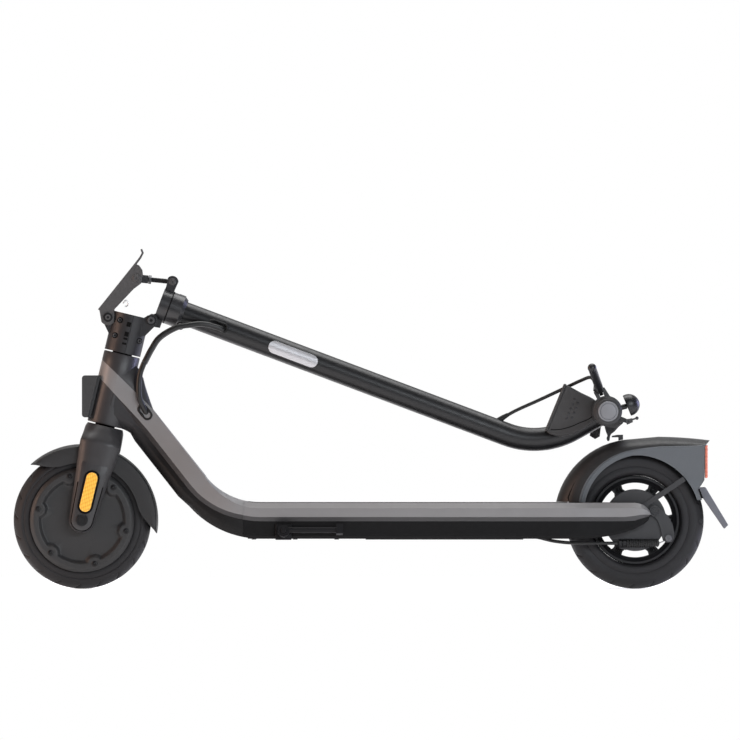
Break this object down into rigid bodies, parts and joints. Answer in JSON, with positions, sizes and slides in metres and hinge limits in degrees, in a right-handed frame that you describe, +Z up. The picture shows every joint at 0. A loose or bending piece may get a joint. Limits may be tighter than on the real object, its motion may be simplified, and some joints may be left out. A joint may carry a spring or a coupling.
{
  "type": "electric kick scooter",
  "caption": "Folding electric kick scooter with a front hub motor, rear drum brake, drop-neck frame, folding stem and latch, fenders, lights and side stand.",
  "frame": {"origin": "on the ground under the middle of the folded scooter's box", "axes": "+X to the rear, +Y to the rider's right, +Z up; the scooter is folded and stands on both wheels"},
  "size_m": [1.072, 0.442, 0.5097],
  "materials": {
    "black_paint": "satin",
    "grey_paint": "satin",
    "tyre": "matte",
    "rubber": "matte",
    "black_plastic": "satin",
    "steel": "satin",
    "alloy": "satin",
    "amber": "glossy",
    "red": "glossy",
    "clear": "clear",
    "screen": "glossy",
    "copper": "satin",
    "lining": "matte",
    "badge": "polished",
    "battery_wrap": "satin"
  },
  "bodies": {
    "frame": {"neck": "grey_paint", "head_tube": "grey_paint", "deck_frame": "grey_paint", "rear_arms": "grey_paint", "deck_mat": "rubber", "bottom_cover": "black_plastic", "cover_screws": "steel", "battery_pack": "battery_wrap", "controller_box": "alloy", "charge_port": "black_plastic", "headlight_housing": "black_plastic", "headlight_lens": "clear", "headset_bearings": "steel", "frame_grommet": "rubber", "kickstand_bracket": "black_paint", "rear_axle": "steel", "brake_shoes": "lining", "drum_brake_plate": "black_paint", "rear_brake_cable": "rubber", "rear_fender": "black_plastic", "fender_brackets": "black_paint", "tail_light": "red", "mud_flap": "rubber", "cable_loop_lower": "rubber"},
    "charge_cap": {"charge_cap": "rubber"},
    "kickstand": {"kickstand_leg": "black_paint"},
    "rear_wheel": {"rear_tyre": "tyre", "rear_rim": "black_paint", "brake_drum": "steel"},
    "brake_arm": {"brake_arm": "black_paint"},
    "steering": {"fork": "black_paint", "fork_covers": "black_plastic", "fork_reflectors": "amber", "front_axle": "steel", "front_fender": "black_plastic", "motor_stator": "copper", "hinge_base": "black_paint", "hinge_pins": "steel"},
    "front_wheel": {"front_tyre": "tyre", "hub_motor_shell": "black_paint", "hub_motor_covers": "black_paint"},
    "latch_lever": {"latch_lever": "black_paint"},
    "link": {"link_rod": "steel"},
    "stem": {"stem_collar": "black_paint", "stem_tube": "black_paint", "stem_badge": "badge", "front_cowl": "black_plastic", "handlebar": "black_paint", "grips": "rubber", "dash_housing": "black_plastic", "dash_lens": "screen", "control_clamps": "black_paint", "bell": "black_paint", "front_brake_cable": "rubber", "cable_loop_upper": "rubber"},
    "brake_lever": {"brake_lever": "black_paint"},
    "bell_striker": {"bell_striker": "black_plastic"},
    "throttle": {"throttle_lever": "black_plastic"},
    "power_button": {"power_button": "red"},
    "fold_hook": {"fold_hook": "black_paint"}
  },
  "joints": [
    {"name": "front_wheel_spin", "type": "hinge", "parent": "steering", "child": "front_wheel", "pos_m": [-0.433, 0, 0.103], "axis": [0, 1, 0], "continuous": true},
    {"name": "rear_wheel_spin", "type": "hinge", "parent": "frame", "child": "rear_wheel", "pos_m": [0.396, 0, 0.103], "axis": [0, 1, 0], "continuous": true},
    {"name": "steer", "type": "hinge", "parent": "frame", "child": "steering", "pos_m": [-0.38631, 0, 0.29747], "axis": [0.2334, 0, 0.9724], "range_deg": [-45, 45], "deforming": ["cable_loop_lower"]},
    {"name": "stem_fold", "type": "hinge", "parent": "steering", "child": "stem", "pos_m": [-0.32957, 0, 0.40232], "axis": [0, -1, 0], "range_deg": [0, 97.1], "deforming": ["cable_loop_upper"]},
    {"name": "latch_turn", "type": "hinge", "parent": "steering", "child": "latch_lever", "pos_m": [-0.39444, 0, 0.4071], "axis": [0, -1, 0], "range_deg": [0, 49.7]},
    {"name": "link_turn", "type": "hinge", "parent": "latch_lever", "child": "link", "pos_m": [-0.35203, 0, 0.46552], "axis": [0, 1, 0], "range_deg": [0, 111.95]},
    {"name": "brake_pull", "type": "hinge", "parent": "stem", "child": "brake_lever", "pos_m": [0.343, -0.092, 0.296], "axis": [0.9348, 0, 0.3551], "range_deg": [0, 20], "stiffness_Nm_per_rad": 2},
    {"name": "brake_cam", "type": "hinge", "parent": "frame", "child": "brake_arm", "pos_m": [0.425, -0.042, 0.1167], "axis": [0, 1, 0], "range_deg": [0, 6]},
    {"name": "bell_strike", "type": "hinge", "parent": "stem", "child": "bell_striker", "pos_m": [0.385, -0.0727, 0.251], "axis": [0, 1, 0], "range_deg": [0, 20], "stiffness_Nm_per_rad": 0.05},
    {"name": "throttle_push", "type": "hinge", "parent": "stem", "child": "throttle", "pos_m": [0.3535, 0.086, 0.2664], "axis": [0, 1, 0], "range_deg": [0, 35], "stiffness_Nm_per_rad": 0.3},
    {"name": "hook_swing", "type": "hinge", "parent": "stem", "child": "fold_hook", "pos_m": [0.369, 0, 0.247], "axis": [0, 1, 0], "range_deg": [-6, 25], "stiffness_Nm_per_rad": 0.2},
    {"name": "kickstand_swing", "type": "hinge", "parent": "frame", "child": "kickstand", "pos_m": [-0.131, -0.079, 0.086], "axis": [0, 0.9659, -0.2588], "range_deg": [0, 105]},
    {"name": "charge_cap_flip", "type": "hinge", "parent": "frame", "child": "charge_cap", "pos_m": [-0.15, 0.071, 0.0795], "axis": [-1, 0, 0], "range_deg": [0, 100]},
    {"name": "button_press", "type": "slide", "parent": "stem", "child": "power_button", "axis": [-0.788, 0, 0.6157], "range_m": [0, 0.001], "stiffness_N_per_m": 400}
  ],
  "couplings": [
    {"joint": "latch_turn", "follows": "stem_fold", "ratio": 0.51183},
    {"joint": "link_turn", "follows": "stem_fold", "ratio": 1.1529},
    {"joint": "brake_cam", "follows": "brake_pull", "ratio": 0.3}
  ]
}
